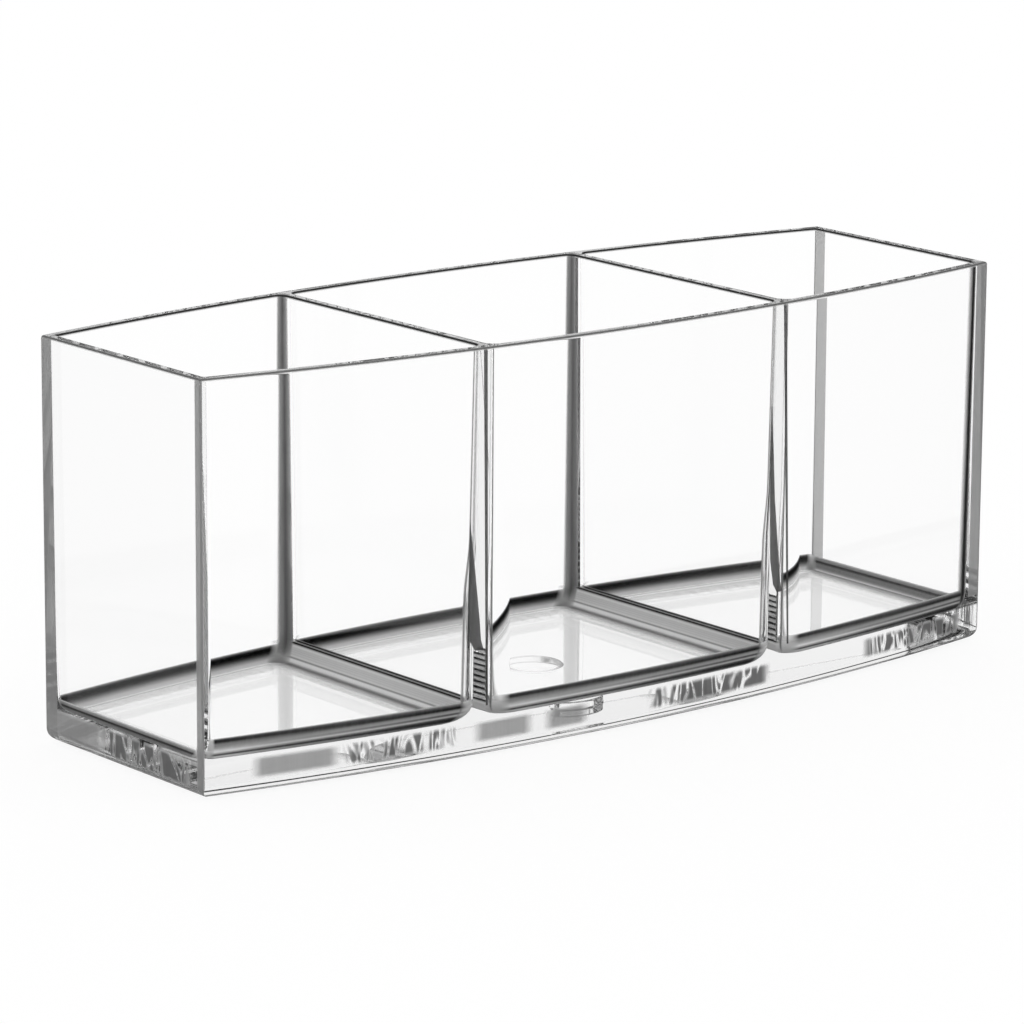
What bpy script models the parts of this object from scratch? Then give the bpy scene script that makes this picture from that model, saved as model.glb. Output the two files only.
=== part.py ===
"""Clear open-top organiser with three compartments and bowed front and rear walls.

Lengths are in metres. +X runs to the right along the box, -Y faces the front and +Z is up.
The origin is the middle of the box on the surface that it stands on.

A thick base carries three filleted wells. Six panels stand on it: the bowed front and rear
walls, two straight end walls and two dividers, which flare where they meet the bowed walls.
Each joint keeps a thin glue line. Every outline in plan comes from one shape: a cell between
two upright faces and the two bows, with rounded corners.
"""

import math

import bmesh
import bpy
from mathutils import Vector

# Overall form
BOX_LENGTH = 0.228
END_DEPTH = 0.060
BOW_RISE = 0.011
BOX_HEIGHT = 0.092

# Panels: thickness at the rim, and the draft that thickens each inner face down to the table
BOWED_WALL = 0.0027
END_WALL = 0.0028
DIVIDER_WALL = 0.0028
FACE_DRAFT = 0.0003

# Clear width of the middle compartment at the rim
MIDDLE_WIDTH = 0.0824

# Base: height of the compartment floors, their fillet, the rounded lower edge
FLOOR_HEIGHT = 0.0075
FLOOR_FILLET = 0.0036
BASE_EDGE_ROUND = 0.0032

# Shallow round recess of the moulding gate, in the middle of the underside
GATE_RADIUS = 0.0068
GATE_DEPTH = 0.0018
GATE_EDGE_ROUND = 0.0004

# Upright corners, rim and joints. An inner corner has this radius at the rim and more below.
INNER_CORNER = 0.0022
INNER_CORNER_GROWTH = 0.0016
OUTER_CORNER = 0.0016
RIM_ROUND = 0.0007
GLUE_LINE = 0.0003
CUT_OVERRUN = 0.0020

# Least share of its radius that the outer corner keeps under the rounded lower edge
OUTER_CORNER_SHARE = 0.3

# Facets
BOW_STEPS = 36
CELL_BOW_STEPS = 14
JOINT_STEPS = 3
CORNER_STEPS = 5
ROUND_STEPS = 3
FILLET_STEPS = 6
GATE_STEPS = 40
SHARP_DEGREES = 35

# Worked out from the sizes above
HALF_LENGTH = BOX_LENGTH / 2
BOW_RADIUS = (HALF_LENGTH ** 2 + BOW_RISE ** 2) / (2 * BOW_RISE)
BOW_CENTRE = BOW_RADIUS - BOW_RISE - END_DEPTH / 2
WELL_TOP = FLOOR_HEIGHT + FLOOR_FILLET
PANEL_FOOT = WELL_TOP + GLUE_LINE
DIVIDER_PLACE = (MIDDLE_WIDTH + DIVIDER_WALL) / 2

# The compartments at the rim, from left to right, as the X of their two upright faces
COMPARTMENTS = (
    (-HALF_LENGTH + END_WALL, -DIVIDER_PLACE - DIVIDER_WALL / 2),
    (-DIVIDER_PLACE + DIVIDER_WALL / 2, DIVIDER_PLACE - DIVIDER_WALL / 2),
    (DIVIDER_PLACE + DIVIDER_WALL / 2, HALF_LENGTH - END_WALL),
)

CLEAR_COLOUR = (0.93, 0.96, 0.97, 1.0)
CLEAR_ROUGHNESS = 0.04
CLEAR_INDEX = 1.49


def clear_scene():
    """Remove every object that the scene starts with."""
    for item in list(bpy.data.objects):
        bpy.data.objects.remove(item, do_unlink=True)


def clear_material(name):
    """A Principled material for one clear, colourless, glossy panel."""
    material = bpy.data.materials.new(name)
    material.use_nodes = True
    shader = material.node_tree.nodes["Principled BSDF"]
    shader.inputs["Base Color"].default_value = CLEAR_COLOUR
    shader.inputs["Roughness"].default_value = CLEAR_ROUGHNESS
    shader.inputs["Metallic"].default_value = 0.0
    shader.inputs["IOR"].default_value = CLEAR_INDEX
    shader.inputs["Transmission Weight"].default_value = 1.0
    return material


def draft_at(height):
    """How far an inner face has moved into its compartment at this height."""
    return FACE_DRAFT * (BOX_HEIGHT - height) / BOX_HEIGHT


def inner_corner_at(height):
    """Radius of the upright inner corners at this height. They open out towards the table."""
    return INNER_CORNER + INNER_CORNER_GROWTH * (BOX_HEIGHT - height) / BOX_HEIGHT


def bow_point(x, radius, side):
    """The point at x on the front (side -1) or rear (side 1) bow of this radius."""
    return (x, side * (math.sqrt(radius ** 2 - x ** 2) - BOW_CENTRE))


def bow_run(start, end, radius, side, steps):
    """Points along a bow between two values of x, without its last one."""
    return [bow_point(start + (end - start) * i / steps, radius, side) for i in range(steps)]


def corner_turn(face, hand, radius, side, corner, stop=None):
    """Points of the round corner between an upright face and a bow.

    The cell lies on the hand side of the face (1 for its left face, -1 for its right one).
    The turn starts on the face. It ends on the bow of the given radius or, where a stop is
    given, on the smaller bow of that radius.
    """
    x = face + hand * corner
    reach = radius - corner
    y = math.sqrt(reach ** 2 - x ** 2)
    lean = math.atan2(x, y)
    first = -hand * math.pi / 2
    last = lean
    if stop is not None:
        cosine = (stop ** 2 - reach ** 2 - corner ** 2) / (2 * reach * corner)
        last -= hand * math.acos(cosine)
    points = []
    for i in range(CORNER_STEPS + 1):
        turn = first + (last - first) * i / CORNER_STEPS
        points.append((x + corner * math.sin(turn), side * (y - BOW_CENTRE + corner * math.cos(turn))))
    return points


def cell_outline(left, right, radius, corner, steps):
    """The closed outline of a cell: two upright faces, two bows and four round corners."""
    outline = []
    for side, near, far, hand in ((-1, left, right, 1), (1, right, left, -1)):
        first = corner_turn(near, hand, radius, side, corner)
        second = corner_turn(far, -hand, radius, side, corner)
        outline += first[:-1]
        outline += bow_run(first[-1][0], second[-1][0], radius, side, steps)
        outline += reversed(second)
    return outline


def rounded_steps(radius, steps):
    """Pairs of (inset, drop) that go round a convex edge, from its side to its face."""
    turns = [math.pi / 2 * i / steps for i in range(steps + 1)]
    return [(radius * (1 - math.cos(turn)), radius * (1 - math.sin(turn))) for turn in turns]


def panel_levels():
    """Pairs of (height, inset) for a panel, from its foot to its rounded rim."""
    rim = [(BOX_HEIGHT - drop, inset) for inset, drop in rounded_steps(RIM_ROUND, ROUND_STEPS)]
    return [(PANEL_FOOT, 0.0)] + rim


def bowed_wall_outline(side, height, inset):
    """Plan of the front or rear wall: outer bow, rounded outer corners, inner bow."""
    end = HALF_LENGTH - inset
    outer = BOW_RADIUS - inset
    inner = BOW_RADIUS - BOWED_WALL - draft_at(height) + inset
    corner = max(OUTER_CORNER - inset, OUTER_CORNER * OUTER_CORNER_SHARE)
    left = corner_turn(-end, 1, outer, side, corner)
    right = corner_turn(end, -1, outer, side, corner)
    outline = left[:-1]
    outline += bow_run(left[-1][0], right[-1][0], outer, side, BOW_STEPS)
    outline += reversed(right)
    outline += bow_run(end, -end, inner, side, BOW_STEPS)
    outline.append(bow_point(-end, inner, side))
    return outline if side < 0 else outline[::-1]


def flare(face, hand, side, height, inset):
    """The flared end of a panel's face: a compartment's corner as far as the glue line."""
    inner = BOW_RADIUS - BOWED_WALL - draft_at(height)
    corner = inner_corner_at(height) + inset
    return corner_turn(face, hand, inner + inset, side, corner, inner - GLUE_LINE)


def divider_outline(place, height, inset):
    """Plan of a divider: two faces, each flared at both ends, and two glued ends."""
    half = DIVIDER_WALL / 2 + draft_at(height) - inset
    joint = BOW_RADIUS - BOWED_WALL - draft_at(height) - GLUE_LINE
    front_left = flare(place - half, -1, -1, height, inset)
    front_right = flare(place + half, 1, -1, height, inset)
    rear_left = flare(place - half, -1, 1, height, inset)
    rear_right = flare(place + half, 1, 1, height, inset)
    outline = front_left[:-1]
    outline += bow_run(front_left[-1][0], front_right[-1][0], joint, -1, JOINT_STEPS)
    outline += reversed(front_right)
    outline += rear_right[:-1]
    outline += bow_run(rear_right[-1][0], rear_left[-1][0], joint, 1, JOINT_STEPS)
    outline += reversed(rear_left)
    return outline


def end_wall_outline(hand, height, inset):
    """Plan of an end wall: flat outer face, flared inner face. hand is 1 at the left end."""
    outer = -hand * (HALF_LENGTH - inset)
    face = -hand * (HALF_LENGTH - END_WALL - draft_at(height) + inset)
    joint = BOW_RADIUS - BOWED_WALL - draft_at(height) - GLUE_LINE
    front = flare(face, hand, -1, height, inset)
    rear = flare(face, hand, 1, height, inset)
    outline = bow_run(outer, front[-1][0], joint, -1, JOINT_STEPS)
    outline += reversed(front)
    outline += rear[:-1]
    outline += bow_run(rear[-1][0], outer, joint, 1, JOINT_STEPS)
    outline.append(bow_point(outer, joint, 1))
    return outline if hand > 0 else outline[::-1]


def loft(name, rings, origin):
    """A closed solid through a stack of outlines, each a (height, points) pair, lowest first."""
    mesh = bpy.data.meshes.new(name)
    shape = bmesh.new()
    loops = []
    for height, outline in rings:
        loops.append([shape.verts.new(Vector((x, y, height)) - origin) for x, y in outline])
    for low, high in zip(loops, loops[1:]):
        for i, corner in enumerate(low):
            j = (i + 1) % len(low)
            shape.faces.new((corner, low[j], high[j], high[i]))
    shape.faces.new(loops[0][::-1])
    shape.faces.new(loops[-1])
    bmesh.ops.recalc_face_normals(shape, faces=shape.faces)
    shape.to_mesh(mesh)
    shape.free()
    item = bpy.data.objects.new(name, mesh)
    item.location = origin
    bpy.context.scene.collection.objects.link(item)
    return item


def finish_piece(item, root):
    """Give a piece its material, its parent and smooth shading with sharp edges kept."""
    item.data.materials.append(clear_material(item.name + "_clear"))
    item.data.shade_smooth()
    item.data.set_sharp_from_angle(angle=math.radians(SHARP_DEGREES))
    item.parent = root


def cut_away(item, cutter):
    """Cut one solid out of another and leave the cutter as a hidden wire guide."""
    cutter.hide_render = True
    cutter.display_type = "WIRE"
    cutter.parent = item
    cutter.matrix_parent_inverse = item.matrix_world.inverted()
    cut = item.modifiers.new(cutter.name, "BOOLEAN")
    cut.operation = "DIFFERENCE"
    cut.solver = "EXACT"
    cut.object = cutter


def well_cutter(index):
    """The space of one compartment in the base, with its fillet down to the floor."""
    left, right = COMPARTMENTS[index]
    levels = [(FLOOR_HEIGHT + drop, inset) for drop, inset in rounded_steps(FLOOR_FILLET, FILLET_STEPS)]
    levels.append((WELL_TOP + CUT_OVERRUN, 0.0))
    rings = []
    for height, inset in levels:
        tuck = draft_at(height) + inset
        corner = inner_corner_at(height)
        radius = BOW_RADIUS - BOWED_WALL - tuck
        rings.append((height, cell_outline(left + tuck, right - tuck, radius, corner, CELL_BOW_STEPS)))
    return loft("well_cutter_%d" % (index + 1), rings, Vector((0.0, 0.0, 0.0)))


def gate_cutter():
    """The shallow round recess in the underside, with a rounded inner edge."""
    levels = [(-CUT_OVERRUN, 0.0)]
    levels += [(GATE_DEPTH - drop, inset) for inset, drop in rounded_steps(GATE_EDGE_ROUND, ROUND_STEPS)]
    rings = []
    for height, inset in levels:
        turns = [2 * math.pi * i / GATE_STEPS for i in range(GATE_STEPS)]
        reach = GATE_RADIUS - inset
        rings.append((height, [(reach * math.cos(turn), reach * math.sin(turn)) for turn in turns]))
    return loft("gate_cutter", rings, Vector((0.0, 0.0, 0.0)))


def make_base(root):
    """The thick base: rounded lower edge, three filleted wells, gate recess underneath."""
    levels = [(drop, inset) for inset, drop in rounded_steps(BASE_EDGE_ROUND, FILLET_STEPS)][::-1]
    levels.append((WELL_TOP, 0.0))
    rings = []
    for height, inset in levels:
        corner = max(OUTER_CORNER - inset, OUTER_CORNER * OUTER_CORNER_SHARE)
        end = HALF_LENGTH - inset
        rings.append((height, cell_outline(-end, end, BOW_RADIUS - inset, corner, BOW_STEPS)))
    base = loft("base", rings, Vector((0.0, 0.0, 0.0)))
    for index in range(len(COMPARTMENTS)):
        cut_away(base, well_cutter(index))
    cut_away(base, gate_cutter())
    finish_piece(base, root)


def make_panel(name, outline, origin, root):
    """A standing panel, lofted through its plan at each level."""
    rings = [(height, outline(height, inset)) for height, inset in panel_levels()]
    finish_piece(loft(name, rings, origin), root)


def build():
    """Build the whole organiser."""
    clear_scene()
    root = bpy.data.objects.new("organiser", None)
    bpy.context.scene.collection.objects.link(root)
    make_base(root)
    for name, side in (("front_wall", -1), ("rear_wall", 1)):
        middle = Vector((0.0, side * (END_DEPTH / 2 + BOW_RISE), PANEL_FOOT))
        make_panel(name, lambda height, inset, side=side: bowed_wall_outline(side, height, inset), middle, root)
    for name, hand in (("left_end_wall", 1), ("right_end_wall", -1)):
        middle = Vector((-hand * HALF_LENGTH, 0.0, PANEL_FOOT))
        make_panel(name, lambda height, inset, hand=hand: end_wall_outline(hand, height, inset), middle, root)
    for name, place in (("left_divider", -DIVIDER_PLACE), ("right_divider", DIVIDER_PLACE)):
        middle = Vector((place, 0.0, PANEL_FOOT))
        make_panel(name, lambda height, inset, place=place: divider_outline(place, height, inset), middle, root)
    bpy.context.view_layer.update()


build()
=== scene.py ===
"""Looks of the clear three-compartment organiser: one moulded body of clear plastic, studio and camera.

Everything is in metres, in the frame's own axes: +X to the right, -Y to the front, +Z up.
"""
import math

import bmesh
import bpy
from mathutils import Matrix, Vector


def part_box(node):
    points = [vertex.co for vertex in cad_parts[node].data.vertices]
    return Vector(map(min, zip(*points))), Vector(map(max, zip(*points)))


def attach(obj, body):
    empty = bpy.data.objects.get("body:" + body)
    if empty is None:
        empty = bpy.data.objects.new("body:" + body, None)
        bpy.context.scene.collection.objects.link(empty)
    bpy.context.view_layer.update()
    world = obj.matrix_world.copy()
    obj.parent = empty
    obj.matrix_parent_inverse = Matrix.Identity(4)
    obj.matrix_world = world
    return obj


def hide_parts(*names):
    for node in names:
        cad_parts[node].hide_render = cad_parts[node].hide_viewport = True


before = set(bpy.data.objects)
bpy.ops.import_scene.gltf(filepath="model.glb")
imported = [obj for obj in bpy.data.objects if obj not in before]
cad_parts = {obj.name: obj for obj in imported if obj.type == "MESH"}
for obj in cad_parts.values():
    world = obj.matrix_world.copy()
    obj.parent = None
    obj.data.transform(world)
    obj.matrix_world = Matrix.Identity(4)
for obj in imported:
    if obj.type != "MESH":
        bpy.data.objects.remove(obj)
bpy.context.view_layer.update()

# Sizes of the box, read from the far corners of the frame's boxes
HALF_LENGTH, HALF_DEPTH, WELL_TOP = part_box("base")[1]
BOX_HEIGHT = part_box("front_wall")[1][2]

# Sizes that the frame's boxes don't give, as on the solids
DIVIDER_PLACE = 0.0426
BOW_RISE = 0.011
BOWED_WALL = 0.0027
END_WALL = 0.0028
DIVIDER_WALL = 0.0028
FACE_DRAFT = 0.0003
FLOOR_FILLET = 0.0036
BASE_EDGE_ROUND = 0.0032
GATE_RADIUS = 0.0068
GATE_DEPTH = 0.0018
GATE_EDGE_ROUND = 0.0004
INNER_CORNER = 0.0022
INNER_CORNER_GROWTH = 0.0016
RIM_ROUND = 0.0007

# Where the scene departs from the solids, whose outer corners are 1.6 mm, inner corners 2.2 to 3.8 mm
# and floor fillets 3.6 mm all round
OUTER_CORNER = 0.0006
END_CORNER = 0.0005
END_CORNER_GROWTH = 0.0030
END_CORNER_REACH = 0.030
FRONT_CORNER_EXTRA = 0.0003
FRONT_CORNER_FOOT_EXTRA = 0.0011
FRONT_CORNER_FOOT_HEIGHTS = (0.036, 0.050)
FRONT_FILLET = 0.0054
REAR_FILLET = 0.0031
DIVIDER_FILLET = 0.0041
END_FILLET = 0.0026

# An outer corner keeps at least this share of its radius where the rim or the lower edge insets it
LEAST_CORNER_SHARE = 0.3

# How dark the rounded surfaces look, because they turn light away from the eye. Each table runs
# across one rounding: corners from the upright face to the bow, rims from the side to the top
# and fillets from the floor to the wall. Left and right are as seen beside a divider.
OUTER_CORNER_SHARES = (0.0, 0.42, 0.42, 0.42, 0.42, 0.42, 0.42, 0.42, 0.0)
PLAIN_CORNER_SHARES = (0.0, 0.0)
END_FRONT_CORNER_SHARES = (0.0, 0.0, 0.1, 0.3, 0.5, 0.65, 0.85, 0.9, 0.5)
REAR_LEFT_CORNER_SHARES = (0.0, 0.4, 0.5, 0.62, 0.52, 0.45, 0.0, 0.0, 0.0)
FRONT_LEFT_CORNER_SHARES = (0.0,) * 15 + (0.5, 0.0)
FRONT_RIGHT_CORNER_SHARES = (0.0,) * 5 + (0.6,) + (0.0,) * 11
OUTER_RIM_SHARES = (0.0, 0.62, 0.66, 0.6, 0.3, 0.0)
INNER_RIM_SHARES = (0.0, 0.85, 0.9, 0.8, 0.4, 0.0)

# The floor fillets' tables. The front one goes from the start to the end table along each compartment.
REAR_FILLET_SHARES = (0.0, 0.1, 0.3, 0.5, 0.7, 0.85, 0.95, 0.95, 0.8, 0.5, 0.0)
FRONT_FILLET_START_SHARES = (0.2, 0.3, 0.1, 0.8, 0.2, 0.0, 0.1, 0.3, 0.4, 0.4, 0.8, 0.8, 0.0)
FRONT_FILLET_END_SHARES = (0.9, 0.5, 1.0, 0.9, 0.8, 0.2, 0.8, 0.3, 0.4, 1.0, 0.7, 0.4, 0.0)
DIVIDER_FILLET_SHARES = (0.55, 0.05, 0.0, 0.0, 0.45, 0.1, 0.1, 0.18, 0.1, 0.2, 0.12,
                         0.2, 0.12, 0.18, 0.1, 0.05, 0.1, 0.3, 0.95, 0.9, 0.0)
END_FILLET_SHARES = (0.0, 0.4, 0.5, 0.5, 0.5, 0.7, 0.85, 0.45, 0.35, 0.3, 0.0)
FILLET_CORNER_SHADE = 0.45

# Soft lines of painted shade on the floors, by distance from the fillet's foot: beside the upright faces and
# the rear bow
FLOOR_LINE_STEP = 0.0009
FACE_LINE_SHARES = (0.55, 0.35, 0.22, 0.12, 0.05, 0.0)
REAR_LINE_SHARES = (0.0, 0.2, 0.0, 0.0, 0.0, 0.0)

# Painted shade in grey strips on the flat faces beside the upright corners: at the front and rear of the end
# faces, where the rear one widens downward, and at the right end of the front face
FRONT_STRIP = 0.0020
REAR_STRIP = 0.0043
REAR_STRIP_GROWTH = 0.0005
FACE_STRIP = 0.0044
LEFT_STRIP_SHADE = 0.42
RIGHT_STRIP_SHADE = 0.25
FACE_STRIP_SHADE = 0.42

# Dark upright lines of painted shade in the dividers' front joints, with their shifts from the divider's
# middle at the rim and at the foot
JOINT_SHADE = 0.92
JOINT_GREY = 0.05
JOINT_ROUGHNESS = 0.5
JOINT_RIM_WIDTH = 0.0010
JOINT_FOOT_WIDTH = 0.0006
LEFT_JOINT_SHIFTS = (-0.0009, 0.0)
RIGHT_JOINT_SHIFTS = (0.0003, 0.0032)

# Dark wedges of painted shade beside those lines: height, and the shifts of the two edges from the
# divider's middle
LEFT_WEDGE = (
    (0.0534, -0.0049, -0.0048),
    (0.0400, -0.0051, -0.0032),
    (0.0310, -0.0052, -0.0022),
    (0.0263, -0.0047, -0.0018),
    (0.0240, -0.0034, -0.0011),
)
RIGHT_WEDGE = (
    (0.0680, -0.0036, -0.0034),
    (0.0560, -0.0037, -0.0026),
    (0.0460, -0.0036, -0.0020),
    (0.0320, -0.0032, -0.0004),
    (0.0260, -0.0021, 0.0003),
    (0.0240, -0.0008, 0.0009),
)
WEDGE_DEPTH = 0.0003

# Painted shade in the front face of the base: groups of waves, as (start, end) along it, and plain grey bars
# beside them
WAVE_GROUPS = ((-0.081, -0.051), (0.0005, 0.039), (0.070, 0.107))
GREY_BARS = ((-0.103, -0.081), (-0.048, -0.031), (-0.029, -0.0155))
WAVE_HEIGHTS = (0.0032, 0.0084)
WAVE_SHADE = 0.58
BAR_SHADE = 0.38

# The same on the end faces, as (start, end) from front to rear, and reaching down further
END_WAVES = ((-0.026, 0.009),)
END_GREY_BARS = ((0.007, 0.031),)
END_WAVE_HEIGHTS = (0.0016, 0.0084)

# The pattern of the waves: size, lean and upright stretch, and how far from its middle value a line fades
WAVE_SCALE = 210.0
WAVE_DETAIL = 1.0
WAVE_DISTORTION = 1.6
WAVE_LEAN = 0.35
WAVE_STRETCH = 0.3
WAVE_LINE = (0.01, 0.10)

# How softly that painted shade ends along the face and up and down it, and how deep it goes under the outer
# skin, so that it stays off the floors
BAND_EDGE = 0.0030
BAND_HEIGHT_EDGE = 0.0010
SKIN_DEPTH = 0.0014

# How softly a grey strip ends
MASK_EDGE = 0.0002

# The plastic. Its colour and what passes through it fall with these powers of its clearness.
PLASTIC_INDEX = 1.49
COLOUR_POWER = 2.2
TRANSMISSION_POWER = 3.0
SPECULAR_LEVEL = 0.5
ABSORPTION = 1.5

# Upright streaks in the painted shade, which thin it down to the least streak
STREAK_SCALE = 2200.0
STREAK_DETAIL = 3.0
STREAK_STRETCH = 0.02
STREAK_RANGE = (0.3, 0.7)
LEAST_STREAK = 0.93

# Air under the base, so that its underside still turns light back
FLOOR_GAP = 0.0004

# How bright the room looks where the plastic mirrors it
REFLECTED_LIGHT = 0.25

# The room: size of its floor and how much of its white is glow. The light that comes to the eye by way
# of the plastic goes from white to black as it comes more steeply from above or below, between these
# two values of its direction's upright part.
STAGE_SIZE = 6.0
GLOW_SHARE = 0.9
WHITE_UP_TO = 0.30
BLACK_FROM = 0.42
LIGHT_BOUNCES = 48

# Worked out from those
FLOOR_HEIGHT = WELL_TOP - FLOOR_FILLET
BOW_RADIUS = (HALF_LENGTH ** 2 + BOW_RISE ** 2) / (2 * BOW_RISE)
BOW_CENTRE = BOW_RADIUS - HALF_DEPTH
COMPARTMENTS = (
    (-HALF_LENGTH + END_WALL, -DIVIDER_PLACE - DIVIDER_WALL / 2),
    (-DIVIDER_PLACE + DIVIDER_WALL / 2, DIVIDER_PLACE - DIVIDER_WALL / 2),
    (DIVIDER_PLACE + DIVIDER_WALL / 2, HALF_LENGTH - END_WALL),
)

# Fineness of the mesh
BOW_STEPS = 120
CELL_BOW_STEPS = 40
WALL_STEPS = 36
CORNER_STEPS = 16
RIM_STEPS = 5
EDGE_STEPS = 24
FILLET_STEPS = 40
GATE_STEPS = 72


def draft_at(height):
    return FACE_DRAFT * (BOX_HEIGHT - height) / BOX_HEIGHT


def inner_corner_at(height):
    return INNER_CORNER + INNER_CORNER_GROWTH * (BOX_HEIGHT - height) / BOX_HEIGHT


def front_corner_at(height):
    """Radius of the corners at a divider's front end, which open out towards the foot."""
    low, high = FRONT_CORNER_FOOT_HEIGHTS
    part = min(1.0, max(0.0, (high - height) / (high - low)))
    opened = FRONT_CORNER_FOOT_EXTRA * part * part * (3 - 2 * part)
    return inner_corner_at(height) + FRONT_CORNER_EXTRA + opened


def end_corner_at(height):
    """Radius of the corners at the end walls, sharp but for the foot."""
    return END_CORNER + END_CORNER_GROWTH * max(0.0, (END_CORNER_REACH - height) / END_CORNER_REACH) ** 2


def fillet_inset(size, rise):
    """How far a fillet of this size stands off its wall, at this height above the floor."""
    return size - math.sqrt(size ** 2 - (size - rise) ** 2) if rise < size else 0.0


def corner_turn(face, hand, radius, side, corner):
    """Points (x, y, outward x, outward y, turn) of a round corner.

    turn runs from 0 at the upright face to 1 at the bow.
    """
    x = face + hand * corner
    reach = radius - corner
    y = math.sqrt(reach ** 2 - x ** 2)
    first = -hand * math.pi / 2
    last = math.atan2(x, y)
    points = []
    for i in range(CORNER_STEPS + 1):
        turn = first + (last - first) * i / CORNER_STEPS
        out_x, out_y = math.sin(turn), math.cos(turn)
        points.append((x + corner * out_x, side * (y - BOW_CENTRE + corner * out_y), out_x, side * out_y,
                       i / CORNER_STEPS))
    return points


def bow_run(start, end, radius, side, steps):
    """Points along a bow strictly between two values of x, with None for their turn."""
    points = []
    for i in range(1, steps):
        x = start + (end - start) * i / steps
        y = math.sqrt(radius ** 2 - x ** 2)
        points.append((x, side * (y - BOW_CENTRE), x / radius, side * y / radius, None))
    return points


def cell_outline(left, right, radii, corners, steps):
    """Closed outline of a cell between two upright faces and two bows, anticlockwise.

    radii are the front and the rear bow's. corners are those at the left and the right face, first
    in front and then at the rear.
    """
    outline = []
    for side, near, far, hand in ((-1, left, right, 1), (1, right, left, -1)):
        radius = radii[0] if side < 0 else radii[1]
        at_near, at_far = corners[0] if side < 0 else corners[1][::-1]
        first = corner_turn(near, hand, radius, side, at_near)
        second = corner_turn(far, -hand, radius, side, at_far)
        outline += first + bow_run(first[-1][0], second[-1][0], radius, side, steps) + second[::-1]
    return outline


def rounded_steps(radius, steps):
    """(inset, drop, share of the normal that is level) round a convex edge, from side to face."""
    turns = [math.pi / 2 * i / steps for i in range(steps + 1)]
    return [(radius * (1 - math.cos(t)), radius * (1 - math.sin(t)), math.cos(t)) for t in turns]


def along(shares, place):
    """The value of a table of evenly spaced shares at a place from 0 to 1."""
    spot = place * (len(shares) - 1)
    i = min(int(spot), len(shares) - 2)
    return shares[i] + (shares[i + 1] - shares[i]) * (spot - i)


def outer_shade(turn, x, y, least=0.0):
    """Shade of an outer upright corner at this turn, and at least the given one."""
    return least if turn is None else max(least, along(OUTER_CORNER_SHARES, turn))


def corner_shares(x, y):
    """The table of the inner upright corner at this place, with left and right as seen beside a divider."""
    if abs(x) > (HALF_LENGTH + DIVIDER_PLACE) / 2:
        return END_FRONT_CORNER_SHARES if x > 0 and y < 0 else PLAIN_CORNER_SHARES
    if abs(x) < DIVIDER_PLACE:
        left = x > 0
    else:
        left = x < 0
    if y < 0:
        return FRONT_LEFT_CORNER_SHARES if left else FRONT_RIGHT_CORNER_SHARES
    return REAR_LEFT_CORNER_SHARES if left else PLAIN_CORNER_SHARES


def inner_shade(turn, x, y, least=0.0):
    """Shade of an inner upright corner at this turn, and at least the given one."""
    if turn is None:
        return least
    return max(least, along(corner_shares(x, y), turn))


def face_fillet(x):
    """Size and table of the floor fillet along the upright face at this place."""
    if abs(x) > (HALF_LENGTH + DIVIDER_PLACE) / 2:
        return END_FILLET, END_FILLET_SHARES
    return DIVIDER_FILLET, DIVIDER_FILLET_SHARES


def bow_fillet(x, y):
    """Size and table of the floor fillet along the bowed wall here, which darkens along each compartment."""
    if y > 0:
        return REAR_FILLET, REAR_FILLET_SHARES
    left, right = min(COMPARTMENTS, key=lambda ends: abs(x - (ends[0] + ends[1]) / 2))
    part = min(1.0, max(0.0, (x - left) / (right - left)))
    pairs = zip(FRONT_FILLET_START_SHARES, FRONT_FILLET_END_SHARES)
    return FRONT_FILLET, [start + (end - start) * part for start, end in pairs]


def wall_fillet_point(rise, size, shares):
    """Painted shade, its opacity and the normal's upward part on a wall's fillet, this high above the floor.
    """
    return along(shares, min(1.0, rise / size)), float(rise < size), max(0.0, 1 - rise / size)


def fillet_point(rise, turn, x, y):
    """The same on the bow's fillet, and in a corner on the blend of the bow's and the face's."""
    bow = wall_fillet_point(rise, *bow_fillet(x, y))
    if turn is None:
        return bow
    face = wall_fillet_point(rise, *face_fillet(x))
    shade, paint_cover, up = (a * (1 - turn) + b * turn for a, b in zip(face, bow))
    plain = 4 * turn * (1 - turn)
    shade += (FILLET_CORNER_SHADE * up - shade) * plain
    level = math.sqrt(1 - up ** 2)
    return max(shade, inner_shade(turn, x, y) * level), paint_cover, up


def floor_point(step, turn, x, y):
    """Painted shade, its opacity and the normal's upward part on the floor, this many steps from the
    fillet's foot.
    """
    bow = REAR_LINE_SHARES[step] if y > 0 else 0.0
    shade = bow if turn is None else FACE_LINE_SHARES[step] * (1 - turn) + bow * turn
    return shade, 0.0, 1.0


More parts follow.
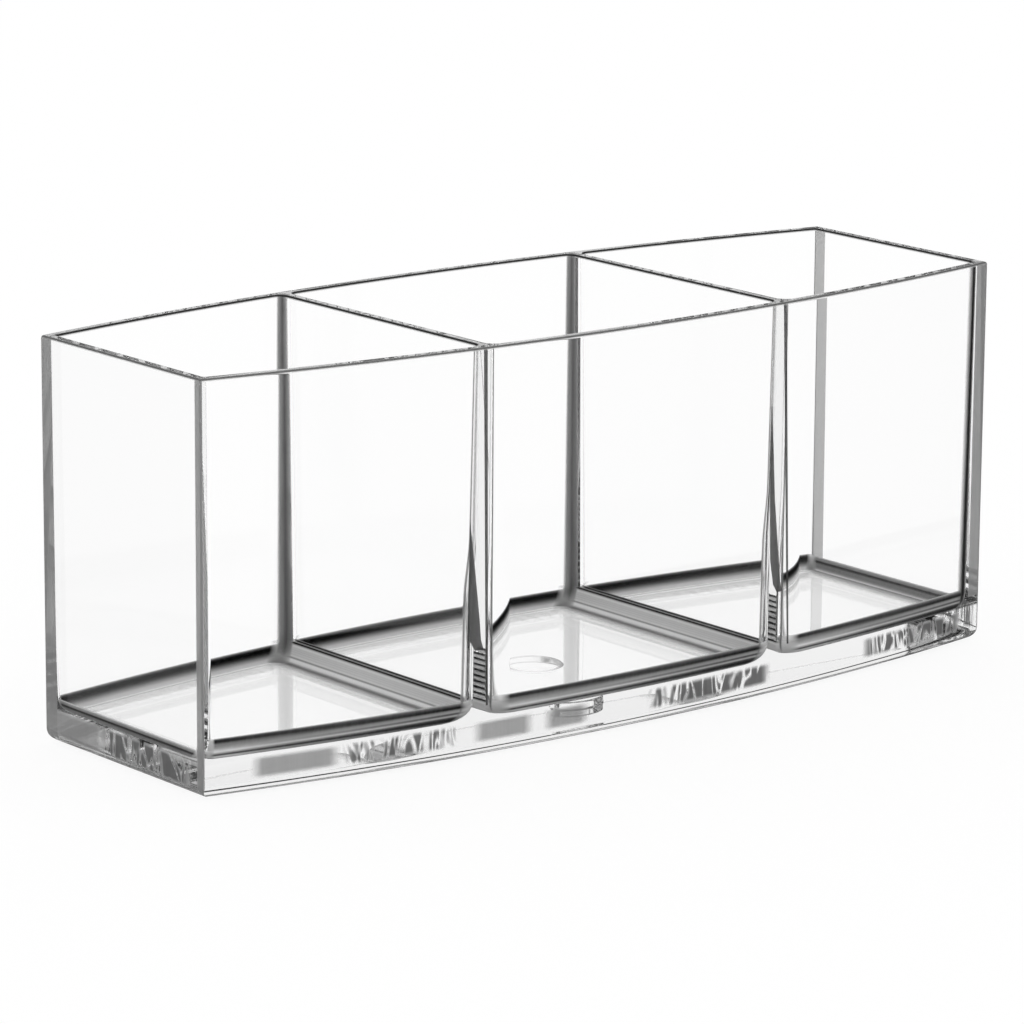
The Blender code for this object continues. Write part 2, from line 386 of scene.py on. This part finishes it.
class SmoothMesh:
    """Collects rings of points with exact normals and turns them into one smooth closed mesh."""

    def __init__(self):
        self.shape = bmesh.new()
        self.normals = []
        self.shades = []
        self.paint_covers = []

    def ring(self, outline, height, hand, point_at):
        """Add a ring of points. hand is 1 where the surface faces outward and -1 where it faces inward.

        point_at gives a point's painted shade, its opacity and the normal's upward part, from its turn
        round a corner, None off it, and its x and y.
        """
        made = []
        for x, y, out_x, out_y, turn in outline:
            shade, paint_cover, up = point_at(turn, x, y)
            level = hand * math.sqrt(1 - up ** 2)
            made.append(self.shape.verts.new((x, y, height)))
            self.normals.append(Vector((out_x * level, out_y * level, up)).normalized())
            self.shades.append(shade)
            self.paint_covers.append(paint_cover)
        return made

    def bridge(self, low, high, inside):
        """Quads between two rings, facing out, or in where inside is true."""
        count = len(low)
        for i in range(count):
            j = (i + 1) % count
            face = (low[i], low[j], high[j], high[i])
            self.shape.faces.new(face[::-1] if inside else face)

    def stack(self, rings, inside):
        for low, high in zip(rings, rings[1:]):
            self.bridge(low, high, inside)

    def cover(self, rings, up):
        """A flat face inside the first ring and outside the others."""
        edges = []
        for ring in rings:
            for i, vert in enumerate(ring):
                edges.append(self.shape.edges.get((vert, ring[(i + 1) % len(ring)])))
        made = bmesh.ops.triangle_fill(self.shape, edges=edges, use_beauty=True)
        for face in made["geom"]:
            if isinstance(face, bmesh.types.BMFace) and (face.normal.z > 0) != up:
                face.normal_flip()

    def finish(self, name):
        self.shape.normal_update()
        mesh = bpy.data.meshes.new(name)
        self.shape.to_mesh(mesh)
        self.shape.free()
        mesh.shade_smooth()
        mesh.normals_split_custom_set_from_vertices(self.normals)
        mesh.attributes.new("shade", "FLOAT", "POINT").data.foreach_set("value", self.shades)
        # The second attribute makes the painted shade opaque, on the fillets
        mesh.attributes.new("paint_cover", "FLOAT", "POINT").data.foreach_set("value", self.paint_covers)
        item = bpy.data.objects.new(name, mesh)
        bpy.context.scene.collection.objects.link(item)
        return item


def outer_outline(inset):
    """The outside of the box, this far inside its largest outline."""
    corner = max(OUTER_CORNER - inset, OUTER_CORNER * LEAST_CORNER_SHARE)
    radius = BOW_RADIUS - inset
    return cell_outline(-HALF_LENGTH + inset, HALF_LENGTH - inset, (radius, radius),
                        ((corner, corner), (corner, corner)), BOW_STEPS)


def make_outside(skin):
    """The outer skin from the underside to the top of the rim."""
    rings = []
    for inset, drop, level in rounded_steps(BASE_EDGE_ROUND, EDGE_STEPS)[::-1]:
        up = -math.sqrt(1 - level ** 2)
        rings.append(skin.ring(outer_outline(inset), drop, 1,
                               lambda turn, x, y: (outer_shade(turn, x, y), 0.0, up)))
    for inset, drop, level in rounded_steps(RIM_ROUND, RIM_STEPS):
        up = math.sqrt(1 - level ** 2)
        shade = along(OUTER_RIM_SHARES, inset / RIM_ROUND)
        rings.append(skin.ring(outer_outline(inset), BOX_HEIGHT - drop, 1,
                               lambda turn, x, y: (outer_shade(turn, x, y, shade), 0.0, up)))
    skin.stack(rings, False)
    return rings


def compartment_outline(left, right, height, grow=0.0, floor_run=0.0):
    """Inner outline at this height. grow widens it at the rim and floor_run narrows it on the floor."""
    tuck = draft_at(height) - grow + floor_run
    rise = height - FLOOR_HEIGHT
    faces = []
    fronts = []
    rears = []
    for face, hand in ((left, 1), (right, -1)):
        size = face_fillet(face)[0]
        faces.append(face + hand * (tuck + fillet_inset(size, rise)))
        if size == END_FILLET:
            fronts.append(grow + (inner_corner_at(height) if face > 0 else end_corner_at(height)))
            rears.append(grow + end_corner_at(height))
        else:
            fronts.append(grow + front_corner_at(height))
            rears.append(grow + inner_corner_at(height))
    wall = BOW_RADIUS - BOWED_WALL - tuck
    radii = (wall - fillet_inset(FRONT_FILLET, rise), wall - fillet_inset(REAR_FILLET, rise))
    return cell_outline(*faces, radii, (fronts, rears), CELL_BOW_STEPS)


def make_compartment(skin, left, right):
    """The inner skin of one compartment. Returns its ring at the rim."""
    rings = []
    for step in range(len(FACE_LINE_SHARES))[::-1]:
        outline = compartment_outline(left, right, FLOOR_HEIGHT, floor_run=step * FLOOR_LINE_STEP)
        rings.append(skin.ring(outline, FLOOR_HEIGHT, -1, lambda turn, x, y: floor_point(step, turn, x, y)))
    for _, drop, _ in rounded_steps(FRONT_FILLET, FILLET_STEPS)[-2::-1]:
        height = FLOOR_HEIGHT + drop
        rings.append(skin.ring(compartment_outline(left, right, height), height, -1,
                               lambda turn, x, y: fillet_point(drop, turn, x, y)))
    wall_foot = FLOOR_HEIGHT + FRONT_FILLET
    for i in range(1, WALL_STEPS):
        height = wall_foot + (BOX_HEIGHT - RIM_ROUND - wall_foot) * i / WALL_STEPS
        rings.append(skin.ring(compartment_outline(left, right, height), height, -1,
                               lambda turn, x, y: (inner_shade(turn, x, y), 0.0, 0.0)))
    for inset, drop, level in rounded_steps(RIM_ROUND, RIM_STEPS):
        height = BOX_HEIGHT - drop
        up = math.sqrt(1 - level ** 2)
        shade = along(INNER_RIM_SHARES, inset / RIM_ROUND)
        rings.append(skin.ring(compartment_outline(left, right, height, grow=inset), height, -1,
                               lambda turn, x, y: (inner_shade(turn, x, y, shade), 0.0, up)))
    skin.stack(rings, True)
    skin.cover([rings[0]], True)
    return rings[-1]


def make_gate(skin):
    """The shallow round recess in the middle of the underside. Returns its ring there."""
    turns = [2 * math.pi * i / GATE_STEPS for i in range(GATE_STEPS)]
    steps = rounded_steps(GATE_EDGE_ROUND, RIM_STEPS)
    places = [(GATE_RADIUS + inset, drop, level) for inset, drop, level in steps[::-1]]
    places += [(GATE_RADIUS - inset, GATE_DEPTH - drop, level) for inset, drop, level in steps]
    rings = []
    for reach, height, level in places:
        up = -math.sqrt(1 - level ** 2)
        outline = [(math.cos(t) * reach, math.sin(t) * reach, math.cos(t), math.sin(t), None) for t in turns]
        rings.append(skin.ring(outline, height, -1, lambda turn, x, y: (0.0, 0.0, up)))
    skin.stack(rings, True)
    skin.cover([rings[-1]], False)
    return rings[0]


def make_body():
    """The whole clear moulding as one closed skin, so that light runs through it unbroken."""
    skin = SmoothMesh()
    outer = make_outside(skin)
    mouths = [make_compartment(skin, left, right) for left, right in COMPARTMENTS]
    skin.cover([outer[-1]] + mouths, True)
    skin.cover([outer[0], make_gate(skin)], False)
    return skin.finish("clear_body")


def computed(tree, operation, first, second):
    """A Math node's output. first and second are numbers or other nodes' outputs."""
    node = tree.nodes.new("ShaderNodeMath")
    node.operation = operation
    for socket, value in zip(node.inputs, (first, second)):
        if isinstance(value, (int, float)):
            socket.default_value = value
        else:
            tree.links.new(value, socket)
    return node.outputs[0]


def ramped(tree, value, from_low, from_high, to_low=0.0, to_high=1.0):
    """A Map Range node's output: value taken from one range to another, and kept inside it."""
    node = tree.nodes.new("ShaderNodeMapRange")
    ends = {"From Min": from_low, "From Max": from_high, "To Min": to_low, "To Max": to_high}
    for name, number in ends.items():
        node.inputs[name].default_value = number
    tree.links.new(value, node.inputs["Value"])
    return node.outputs["Result"]


def banded(tree, value, low, high, edge):
    """1 where the value is between two numbers, fading to 0 over an edge inside them."""
    rise = ramped(tree, value, low, low + edge)
    return computed(tree, "MULTIPLY", rise, ramped(tree, value, high, high - edge))


def shade_bands(tree, place, groups, bars, waves):
    """Painted shade of groups of waves and of plain grey bars, as (start, end) along this axis."""
    total = None
    for pairs, shade in ((groups, waves), (bars, BAR_SHADE)):
        for low, high in pairs:
            part = computed(tree, "MULTIPLY", banded(tree, place, low, high, BAND_EDGE), shade)
            total = part if total is None else computed(tree, "MAXIMUM", total, part)
    return total


def wave_lines(tree, place):
    """The waves' own pattern: dark where the noise is far from its middle value."""
    turned = tree.nodes.new("ShaderNodeMapping")
    turned.inputs["Rotation"].default_value = (0.0, WAVE_LEAN, 0.0)
    turned.inputs["Scale"].default_value = (1.0, 1.0, WAVE_STRETCH)
    tree.links.new(place, turned.inputs["Vector"])
    noise = tree.nodes.new("ShaderNodeTexNoise")
    noise.inputs["Scale"].default_value = WAVE_SCALE
    noise.inputs["Detail"].default_value = WAVE_DETAIL
    noise.inputs["Distortion"].default_value = WAVE_DISTORTION
    tree.links.new(turned.outputs["Vector"], noise.inputs["Vector"])
    from_line = computed(tree, "ABSOLUTE", computed(tree, "SUBTRACT", noise.outputs["Fac"], 0.5), 0.0)
    return ramped(tree, from_line, *WAVE_LINE, 0.0, WAVE_SHADE)


def base_painted_shade(tree, place, split):
    """Painted shade in the front and end faces of the thick base: wavy lines and grey bars."""
    x, y, z = (split.outputs[axis] for axis in "XYZ")
    waves = wave_lines(tree, place)
    outward = computed(tree, "ABSOLUTE", x, 0.0)
    forward = computed(tree, "SUBTRACT", BOW_CENTRE, y)
    squares = [computed(tree, "POWER", side, 2.0) for side in (outward, forward)]
    from_axis = computed(tree, "POWER", computed(tree, "ADD", *squares), 0.5)
    front = shade_bands(tree, x, WAVE_GROUPS, GREY_BARS, waves)
    sides = shade_bands(tree, y, END_WAVES, END_GREY_BARS, waves)
    faces = []
    for shade, heights, reach, surface in ((front, WAVE_HEIGHTS, from_axis, BOW_RADIUS),
                                           (sides, END_WAVE_HEIGHTS, outward, HALF_LENGTH)):
        here = computed(tree, "MULTIPLY", shade, banded(tree, z, *heights, BAND_HEIGHT_EDGE))
        skin = ramped(tree, reach, surface - SKIN_DEPTH, surface - SKIN_DEPTH / 2)
        faces.append(computed(tree, "MULTIPLY", here, skin))
    return computed(tree, "MAXIMUM", *faces)


def face_strips(tree, split):
    """Painted shade: the grey strips beside the upright corners."""
    x, y, z = (split.outputs[axis] for axis in "XYZ")
    end = HALF_DEPTH - BOW_RISE
    on_end = ramped(tree, computed(tree, "ABSOLUTE", x, 0.0), HALF_LENGTH - OUTER_CORNER,
                    HALF_LENGTH - OUTER_CORNER + MASK_EDGE)
    leaning = computed(tree, "MULTIPLY", z, REAR_STRIP_GROWTH / BOX_HEIGHT)
    start = end - REAR_STRIP - REAR_STRIP_GROWTH
    at_rear = ramped(tree, computed(tree, "SUBTRACT", y, leaning), start, start + MASK_EDGE)
    at_front = ramped(tree, y, FRONT_STRIP - end, FRONT_STRIP - end - MASK_EDGE)
    strip = computed(tree, "MULTIPLY", on_end, computed(tree, "MAXIMUM", at_rear, at_front))
    side = ramped(tree, x, -HALF_LENGTH, HALF_LENGTH, LEFT_STRIP_SHADE, RIGHT_STRIP_SHADE)
    on_ends = computed(tree, "MULTIPLY", strip, side)
    beside = ramped(tree, x, HALF_LENGTH - FACE_STRIP, HALF_LENGTH - FACE_STRIP + MASK_EDGE)
    outside = ramped(tree, y, BOWED_WALL / 2 - end, BOWED_WALL / 2 - end - MASK_EDGE)
    above = ramped(tree, z, WELL_TOP, WELL_TOP + MASK_EDGE)
    on_face = computed(tree, "MULTIPLY", computed(tree, "MULTIPLY", beside, outside), above)
    return computed(tree, "MAXIMUM", on_ends, computed(tree, "MULTIPLY", on_face, FACE_STRIP_SHADE))


def shade_streaks(tree, place):
    """Fine upright streaks in the painted shade, as a factor on it."""
    stretch = tree.nodes.new("ShaderNodeMapping")
    stretch.inputs["Scale"].default_value = (1.0, 1.0, STREAK_STRETCH)
    tree.links.new(place, stretch.inputs["Vector"])
    streak_noise = tree.nodes.new("ShaderNodeTexNoise")
    streak_noise.inputs["Scale"].default_value = STREAK_SCALE
    streak_noise.inputs["Detail"].default_value = STREAK_DETAIL
    tree.links.new(stretch.outputs["Vector"], streak_noise.inputs["Vector"])
    return ramped(tree, streak_noise.outputs["Fac"], *STREAK_RANGE, LEAST_STREAK, 1.0)


def clear_plastic():
    """The plastic: clear where its painted shade is 0, grey to black elsewhere, and opaque where the
    fillets' shade is painted opaque.
    """
    material = bpy.data.materials.new("clear_plastic")
    material.use_nodes = True
    tree = material.node_tree
    nodes, links = tree.nodes, tree.links
    shader = nodes["Principled BSDF"]
    shader.inputs["Roughness"].default_value = 0.0
    shader.inputs["IOR"].default_value = PLASTIC_INDEX
    shader.inputs["Specular Tint"].default_value = (0.0, 0.0, 0.0, 1)
    place = nodes.new("ShaderNodeTexCoord").outputs["Object"]
    streak = shade_streaks(tree, place)
    split = nodes.new("ShaderNodeSeparateXYZ")
    links.new(place, split.inputs[0])
    # Painted shade of the strips and of the base's waves and bars
    strips = computed(tree, "MAXIMUM", face_strips(tree, split), base_painted_shade(tree, place, split))
    shade, paint_cover = nodes.new("ShaderNodeAttribute"), nodes.new("ShaderNodeAttribute")
    shade.attribute_name = "shade"
    paint_cover.attribute_name = "paint_cover"
    most = computed(tree, "MAXIMUM", shade.outputs["Fac"], strips)
    clear = computed(tree, "SUBTRACT", 1.0, computed(tree, "MULTIPLY", most, streak))
    colour = computed(tree, "POWER", clear, COLOUR_POWER)
    links.new(colour, shader.inputs["Base Color"])
    # Nothing passes where the painted shade is opaque
    uncovered = computed(tree, "SUBTRACT", 1.0, paint_cover.outputs["Fac"])
    passing = computed(tree, "POWER", clear, TRANSMISSION_POWER)
    links.new(computed(tree, "MULTIPLY", passing, uncovered), shader.inputs["Transmission Weight"])
    links.new(computed(tree, "MULTIPLY", colour, SPECULAR_LEVEL), shader.inputs["Specular IOR Level"])
    volume = nodes.new("ShaderNodeVolumeAbsorption")
    volume.inputs["Color"].default_value = (0.0, 0.0, 0.0, 1)
    volume.inputs["Density"].default_value = ABSORPTION
    links.new(volume.outputs[0], nodes["Material Output"].inputs["Volume"])
    return material


def add_film(shape, place, steps, depth):
    """A thin film of painted shade, this deep in the front wall beside a divider.

    steps are (height, left shift, right shift) from the top down, with the shifts from the place.
    """
    rows = []
    for height, left, right in steps:
        radius = BOW_RADIUS - BOWED_WALL - draft_at(height) + depth
        row = []
        for x in (place + left, place + right):
            row.append(shape.verts.new((x, -math.sqrt(radius ** 2 - x ** 2) + BOW_CENTRE, height)))
        rows.append(row)
    for upper, lower in zip(rows, rows[1:]):
        shape.faces.new((upper[0], lower[0], lower[1], upper[1]))


def make_shade_films():
    """Dark films of painted shade in the plastic: lines and wedges where the dividers meet the front wall.
    """
    mesh = bpy.data.meshes.new("painted_shade_lines")
    shape = bmesh.new()
    for place, shifts, wedge in ((-DIVIDER_PLACE, LEFT_JOINT_SHIFTS, LEFT_WEDGE),
                                 (DIVIDER_PLACE, RIGHT_JOINT_SHIFTS, RIGHT_WEDGE)):
        line = []
        for height, width, shift in ((BOX_HEIGHT - RIM_ROUND, JOINT_RIM_WIDTH, shifts[0]),
                                     (WELL_TOP, JOINT_FOOT_WIDTH, shifts[1])):
            line.append((height, shift - width / 2, shift + width / 2))
        add_film(shape, place, line, 0.0)
        add_film(shape, place, wedge, WEDGE_DEPTH)
    shape.to_mesh(mesh)
    shape.free()
    item = bpy.data.objects.new("painted_shade_lines", mesh)
    bpy.context.scene.collection.objects.link(item)
    # Its material paints the shade: dark grey and mostly opaque
    material = bpy.data.materials.new("painted_shade_film")
    material.use_nodes = True
    shader = material.node_tree.nodes["Principled BSDF"]
    shader.inputs["Base Color"].default_value = (JOINT_GREY, JOINT_GREY, JOINT_GREY, 1)
    shader.inputs["Roughness"].default_value = JOINT_ROUGHNESS
    shader.inputs["Alpha"].default_value = JOINT_SHADE
    item.data.materials.append(material)
    return item


def dimmed(tree, path):
    """Strength of the room's white: full, but less for light that the plastic mirrors."""
    return ramped(tree, path.outputs["Is Reflection Ray"], 0, 1, 1, REFLECTED_LIGHT)


def make_stage():
    """A plain white floor that glows, and keeps a little of the box's shadow."""
    bpy.ops.mesh.primitive_plane_add(size=STAGE_SIZE, location=(0, 0, -FLOOR_GAP))
    floor = bpy.context.object
    floor.name = "floor"
    material = bpy.data.materials.new("floor")
    material.use_nodes = True
    nodes, links = material.node_tree.nodes, material.node_tree.links
    plain = nodes["Principled BSDF"]
    plain.inputs["Base Color"].default_value = (1, 1, 1, 1)
    plain.inputs["Specular IOR Level"].default_value = 0.0
    glow = nodes.new("ShaderNodeEmission")
    glow.inputs["Color"].default_value = (1, 1, 1, 1)
    path = nodes.new("ShaderNodeLightPath")
    links.new(dimmed(material.node_tree, path), glow.inputs["Strength"])
    mix = nodes.new("ShaderNodeMixShader")
    mix.inputs[0].default_value = GLOW_SHARE
    links.new(plain.outputs[0], mix.inputs[1])
    links.new(glow.outputs[0], mix.inputs[2])
    links.new(mix.outputs[0], nodes["Material Output"].inputs["Surface"])
    floor.data.materials.append(material)


def make_world():
    """A white room, which the plastic sees as white round the horizon and dark above and below."""
    scene = bpy.context.scene
    world = bpy.data.worlds.new("studio")
    scene.world = world
    world.use_nodes = True
    tree = world.node_tree
    nodes, links = tree.nodes, tree.links
    nodes.clear()
    coords = nodes.new("ShaderNodeTexCoord")
    split = nodes.new("ShaderNodeSeparateXYZ")
    links.new(coords.outputs["Generated"], split.inputs[0])
    ramp = nodes.new("ShaderNodeValToRGB")
    white, black = ramp.color_ramp.elements
    white.position = WHITE_UP_TO
    white.color = (1, 1, 1, 1)
    black.position = BLACK_FROM
    black.color = (0, 0, 0, 1)
    links.new(computed(tree, "ABSOLUTE", split.outputs["Z"], 0.0), ramp.inputs[0])
    path = nodes.new("ShaderNodeLightPath")
    back = nodes.new("ShaderNodeBackground")
    links.new(ramp.outputs[0], back.inputs["Color"])
    links.new(dimmed(tree, path), back.inputs["Strength"])
    plain = nodes.new("ShaderNodeBackground")
    plain.inputs["Color"].default_value = (1, 1, 1, 1)
    plain.inputs["Strength"].default_value = 1.0
    ways = (path.outputs["Is Glossy Ray"], path.outputs["Is Transmission Ray"])
    by_plastic = computed(tree, "MAXIMUM", *ways)
    unscattered = computed(tree, "LESS_THAN", path.outputs["Diffuse Depth"], 0.5)
    mix = nodes.new("ShaderNodeMixShader")
    links.new(computed(tree, "MULTIPLY", by_plastic, unscattered), mix.inputs[0])
    links.new(plain.outputs[0], mix.inputs[1])
    links.new(back.outputs[0], mix.inputs[2])
    out = nodes.new("ShaderNodeOutputWorld")
    links.new(mix.outputs[0], out.inputs["Surface"])
    scene.view_settings.view_transform = "Standard"
    scene.cycles.max_bounces = LIGHT_BOUNCES
    scene.cycles.transmission_bounces = LIGHT_BOUNCES
    scene.cycles.glossy_bounces = LIGHT_BOUNCES


# The view that the photograph was taken from, fitted to the rim and base lines. Its distance and
# shifts are multiples of the box's length.
VIEW_LENGTH = 0.228
VIEW_AZIMUTH = -38.80
VIEW_ELEVATION = 13.19
VIEW_ROLL = 0.387
VIEW_DISTANCE = 5.3159 * VIEW_LENGTH
VIEW_FOCAL_PIXELS = 5240.5
VIEW_RIGHT = -0.01798 * VIEW_LENGTH
VIEW_UP = 0.17825 * VIEW_LENGTH
FRAME_PIXELS = 1024
SENSOR_WIDTH = 36
CLIP_END = 50


def make_camera():
    azimuth, elevation = math.radians(VIEW_AZIMUTH), math.radians(VIEW_ELEVATION)
    back = Vector((math.sin(azimuth) * math.cos(elevation), -math.cos(azimuth) * math.cos(elevation),
                   math.sin(elevation)))
    right = Vector((0, 0, 1)).cross(back).normalized()
    up = back.cross(right)
    roll = math.radians(VIEW_ROLL)
    side = right * math.cos(roll) + up * math.sin(roll)
    top = up * math.cos(roll) - right * math.sin(roll)
    data = bpy.data.cameras.new("camera")
    data.sensor_width = SENSOR_WIDTH
    data.lens = VIEW_FOCAL_PIXELS * SENSOR_WIDTH / FRAME_PIXELS
    data.clip_end = CLIP_END
    camera = bpy.data.objects.new("camera", data)
    camera.matrix_world = Matrix((side, top, back)).transposed().to_4x4()
    camera.location = back * VIEW_DISTANCE + side * VIEW_RIGHT + top * VIEW_UP
    bpy.context.scene.collection.objects.link(camera)
    bpy.context.scene.camera = camera


body = make_body()
body.data.materials.append(clear_plastic())
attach(body, "root")
joints = make_shade_films()
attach(joints, "root")
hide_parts("base", "front_wall", "rear_wall", "left_end_wall", "right_end_wall",
            "left_divider", "right_divider")
make_stage()
make_world()
make_camera()
